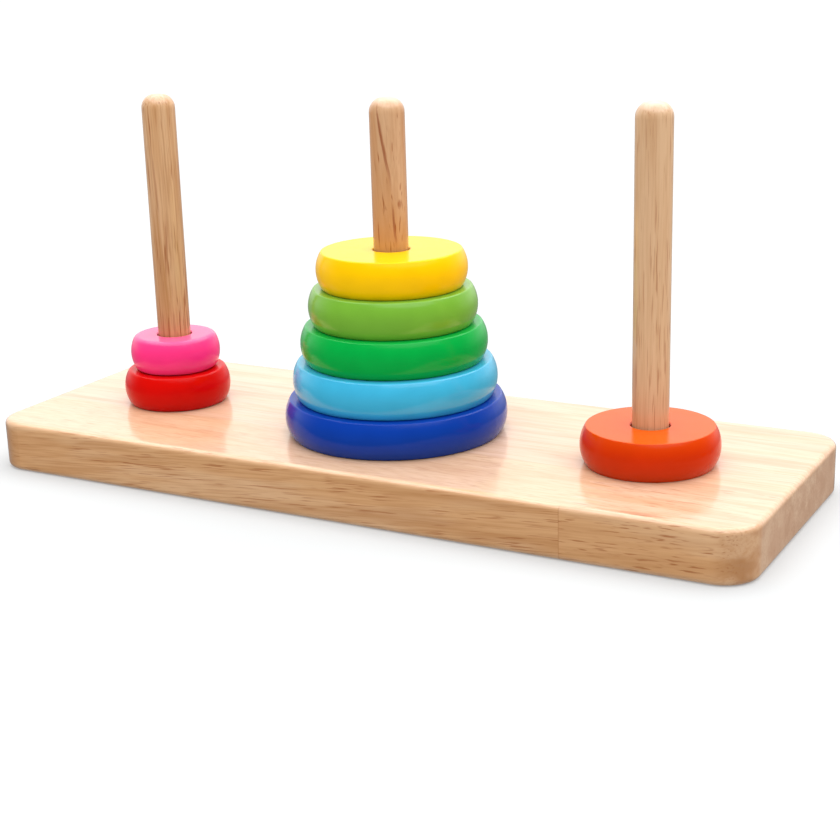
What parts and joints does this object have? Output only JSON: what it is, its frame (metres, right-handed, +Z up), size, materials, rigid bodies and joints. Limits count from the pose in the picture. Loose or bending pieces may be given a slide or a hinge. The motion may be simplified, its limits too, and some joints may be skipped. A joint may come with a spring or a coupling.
{
  "type": "tower of hanoi puzzle",
  "caption": "Wooden board with a row of upright round pegs, carrying painted flat discs of graded sizes with central holes, each of which lifts off over the top of its peg.",
  "frame": {"origin": "middle of the board's underside", "axes": "+X along the row of pegs towards the single-disc peg, -Y the front edge with the visible finger joint, +Z up along the pegs"},
  "size_m": [0.286, 0.104, 0.1344],
  "materials": {
    "board_rubberwood": "clear satin lacquer over pale rubberwood, fine brown vessel lines along the board",
    "peg_dowel": "clear satin lacquer over a tan dowel with brown grain along it",
    "paint_pink": "pink gloss paint over turned wood",
    "paint_red": "red gloss paint over turned wood",
    "paint_orange": "orange gloss paint over turned wood",
    "paint_yellow": "yellow gloss paint over turned wood",
    "paint_light_green": "light green gloss paint over turned wood",
    "paint_green": "green gloss paint over turned wood",
    "paint_light_blue": "light blue gloss paint over turned wood",
    "paint_blue": "blue gloss paint over turned wood"
  },
  "bodies": {
    "base": {"board_stave_front_left": "board_rubberwood", "board_stave_front_right": "board_rubberwood", "board_stave_middle": "board_rubberwood", "board_stave_back": "board_rubberwood", "peg_left": "peg_dowel", "peg_middle": "peg_dowel", "peg_right": "peg_dowel"},
    "disc_red": {"disc_red": "paint_red"},
    "disc_pink": {"disc_pink": "paint_pink"},
    "disc_blue": {"disc_blue": "paint_blue"},
    "disc_light_blue": {"disc_light_blue": "paint_light_blue"},
    "disc_green": {"disc_green": "paint_green"},
    "disc_light_green": {"disc_light_green": "paint_light_green"},
    "disc_yellow": {"disc_yellow": "paint_yellow"},
    "disc_orange": {"disc_orange": "paint_orange"}
  },
  "joints": [
    {"name": "disc_red_lift", "type": "slide", "parent": "base", "child": "disc_red", "axis": [0, 0, 1], "range_m": [0, 0.125]},
    {"name": "disc_pink_lift", "type": "slide", "parent": "disc_red", "child": "disc_pink", "axis": [0, 0, 1], "range_m": [0, 0.1122]},
    {"name": "disc_blue_lift", "type": "slide", "parent": "base", "child": "disc_blue", "axis": [0, 0, 1], "range_m": [0, 0.125]},
    {"name": "disc_light_blue_lift", "type": "slide", "parent": "disc_blue", "child": "disc_light_blue", "axis": [0, 0, 1], "range_m": [0, 0.1122]},
    {"name": "disc_green_lift", "type": "slide", "parent": "disc_light_blue", "child": "disc_green", "axis": [0, 0, 1], "range_m": [0, 0.0994]},
    {"name": "disc_light_green_lift", "type": "slide", "parent": "disc_green", "child": "disc_light_green", "axis": [0, 0, 1], "range_m": [0, 0.0866]},
    {"name": "disc_yellow_lift", "type": "slide", "parent": "disc_light_green", "child": "disc_yellow", "axis": [0, 0, 1], "range_m": [0, 0.0738]},
    {"name": "disc_orange_lift", "type": "slide", "parent": "base", "child": "disc_orange", "axis": [0, 0, 1], "range_m": [0, 0.125]}
  ]
}
